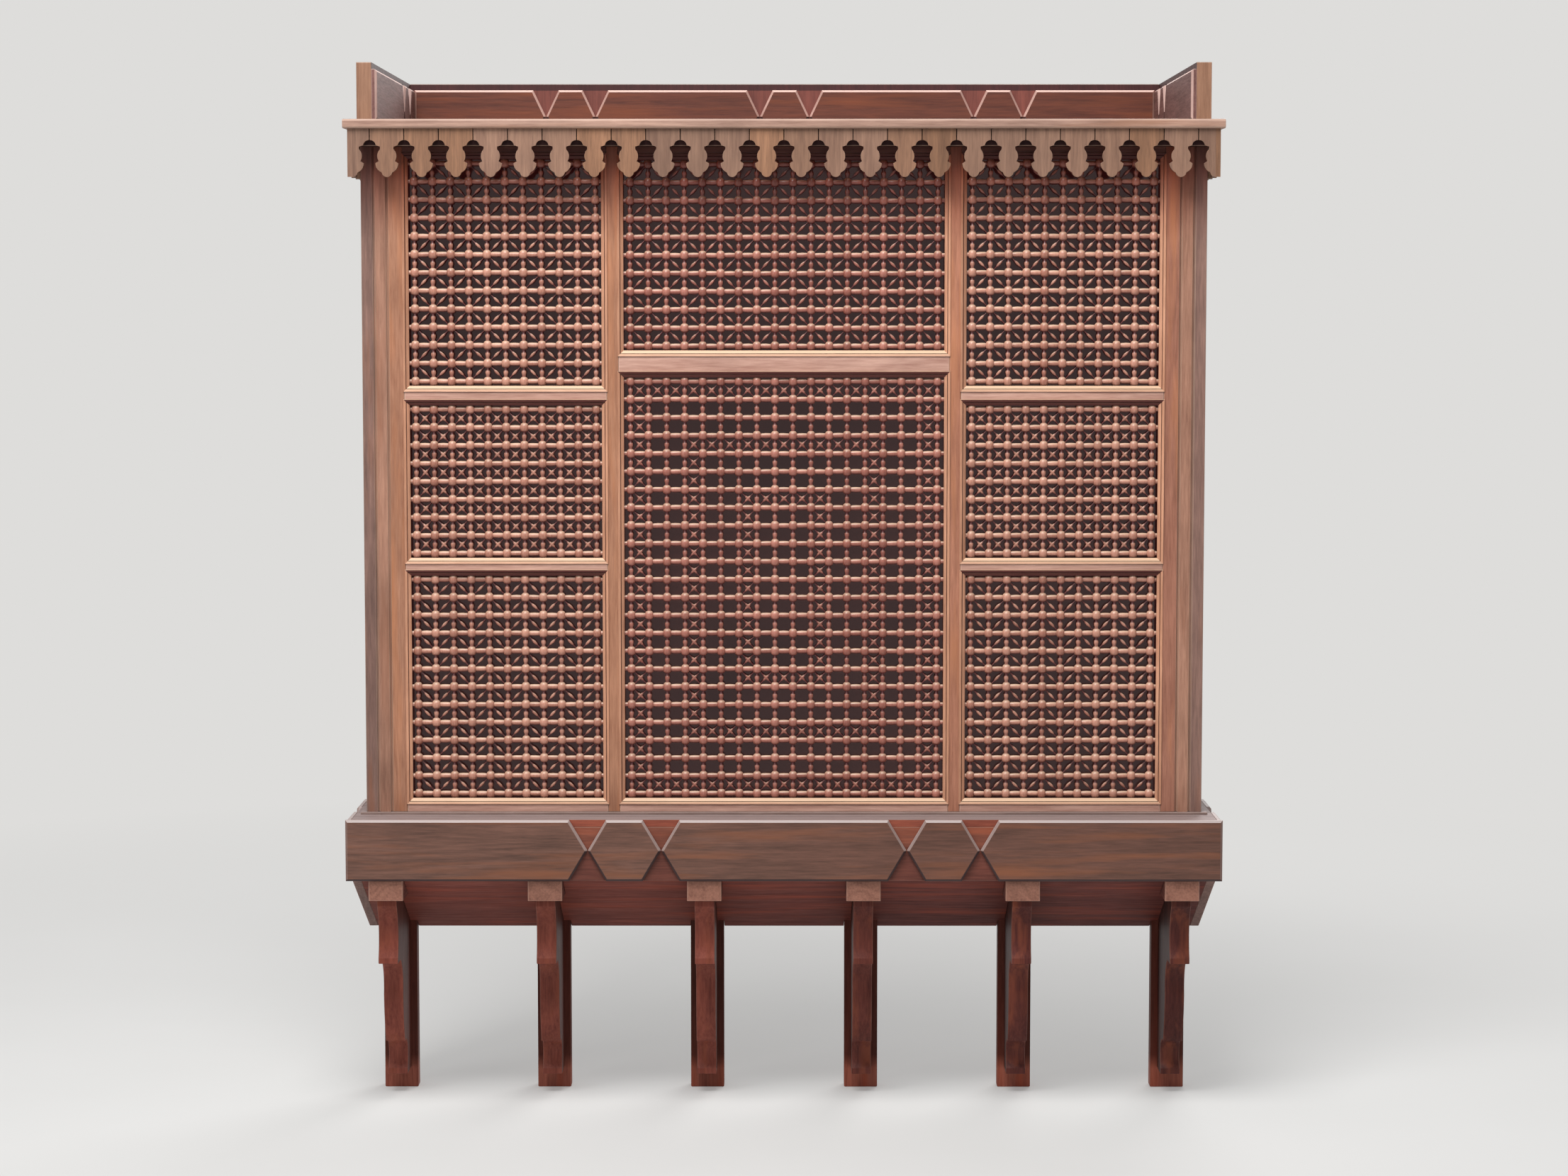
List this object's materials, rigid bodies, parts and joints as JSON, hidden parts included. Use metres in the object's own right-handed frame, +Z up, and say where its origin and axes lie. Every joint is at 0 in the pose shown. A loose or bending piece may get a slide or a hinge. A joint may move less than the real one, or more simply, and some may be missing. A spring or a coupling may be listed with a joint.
{
  "type": "projecting mashrabiya bay window",
  "caption": "Projecting wooden bay window with turned lattice screens, fretted valance and parapet, carried on shaped wall brackets.",
  "frame": {"origin": "centre of the back face of the wall ledger, on the face of the wall that carries the bay", "axes": "+Z up, +Y into the wall, +X to the right as seen from the street; the screen faces -Y"},
  "size_m": [3.61, 1.638, 4.336],
  "materials": {
    "lattice_wood": "oiled turned hardwood, satin",
    "screen_wood": "oiled hardwood, satin",
    "dark_wood": "dark stained wood",
    "bracket_wood": "stained wood, semi-matt",
    "soffit_wood": "stained wood, matt",
    "sill_wood": "weathered wood, matt",
    "beam_wood": "stained wood, matt",
    "ledge_wood": "weathered grey wood",
    "valance_wood": "oiled wood, satin",
    "cap_wood": "oiled wood, satin",
    "roof_wood": "weathered boards",
    "parapet_wood": "stained wood, matt",
    "glass": "clear glass"
  },
  "bodies": {
    "root": {"bottom_rail": "screen_wood", "bracket_arms": "bracket_wood", "bracket_consoles": "bracket_wood", "bracket_posts": "bracket_wood", "corner_posts": "screen_wood", "cross_rails": "screen_wood", "floor_deck": "ledge_wood", "front_glass": "glass", "lattice_centre_bottom": "lattice_wood", "lattice_centre_top": "lattice_wood", "lattice_left_bottom": "lattice_wood", "lattice_left_middle": "lattice_wood", "lattice_left_top": "lattice_wood", "lattice_return_left": "lattice_wood", "lattice_return_right": "lattice_wood", "lattice_right_bottom": "lattice_wood", "lattice_right_middle": "lattice_wood", "lattice_right_top": "lattice_wood", "mouldings": "screen_wood", "mullions": "screen_wood", "parapet_beams": "parapet_wood", "parapet_boards_back": "parapet_wood", "parapet_boards_left": "parapet_wood", "parapet_boards_right": "parapet_wood", "plinth": "ledge_wood", "roof_cap": "cap_wood", "roof_deck": "roof_wood", "side_glass": "glass", "side_rails": "screen_wood", "sill_boards_front": "sill_wood", "sill_boards_left": "sill_wood", "sill_boards_right": "sill_wood", "sill_front_beam": "beam_wood", "sill_side_beams": "beam_wood", "soffit_boards": "soffit_wood", "soffit_cheeks": "soffit_wood", "stiles": "screen_wood", "top_rail": "screen_wood", "valance_boards_front": "valance_wood", "valance_boards_left": "valance_wood", "valance_boards_right": "valance_wood", "valance_rail": "cap_wood", "wall_ledger": "beam_wood", "wall_posts": "dark_wood"}
  },
  "joints": []
}
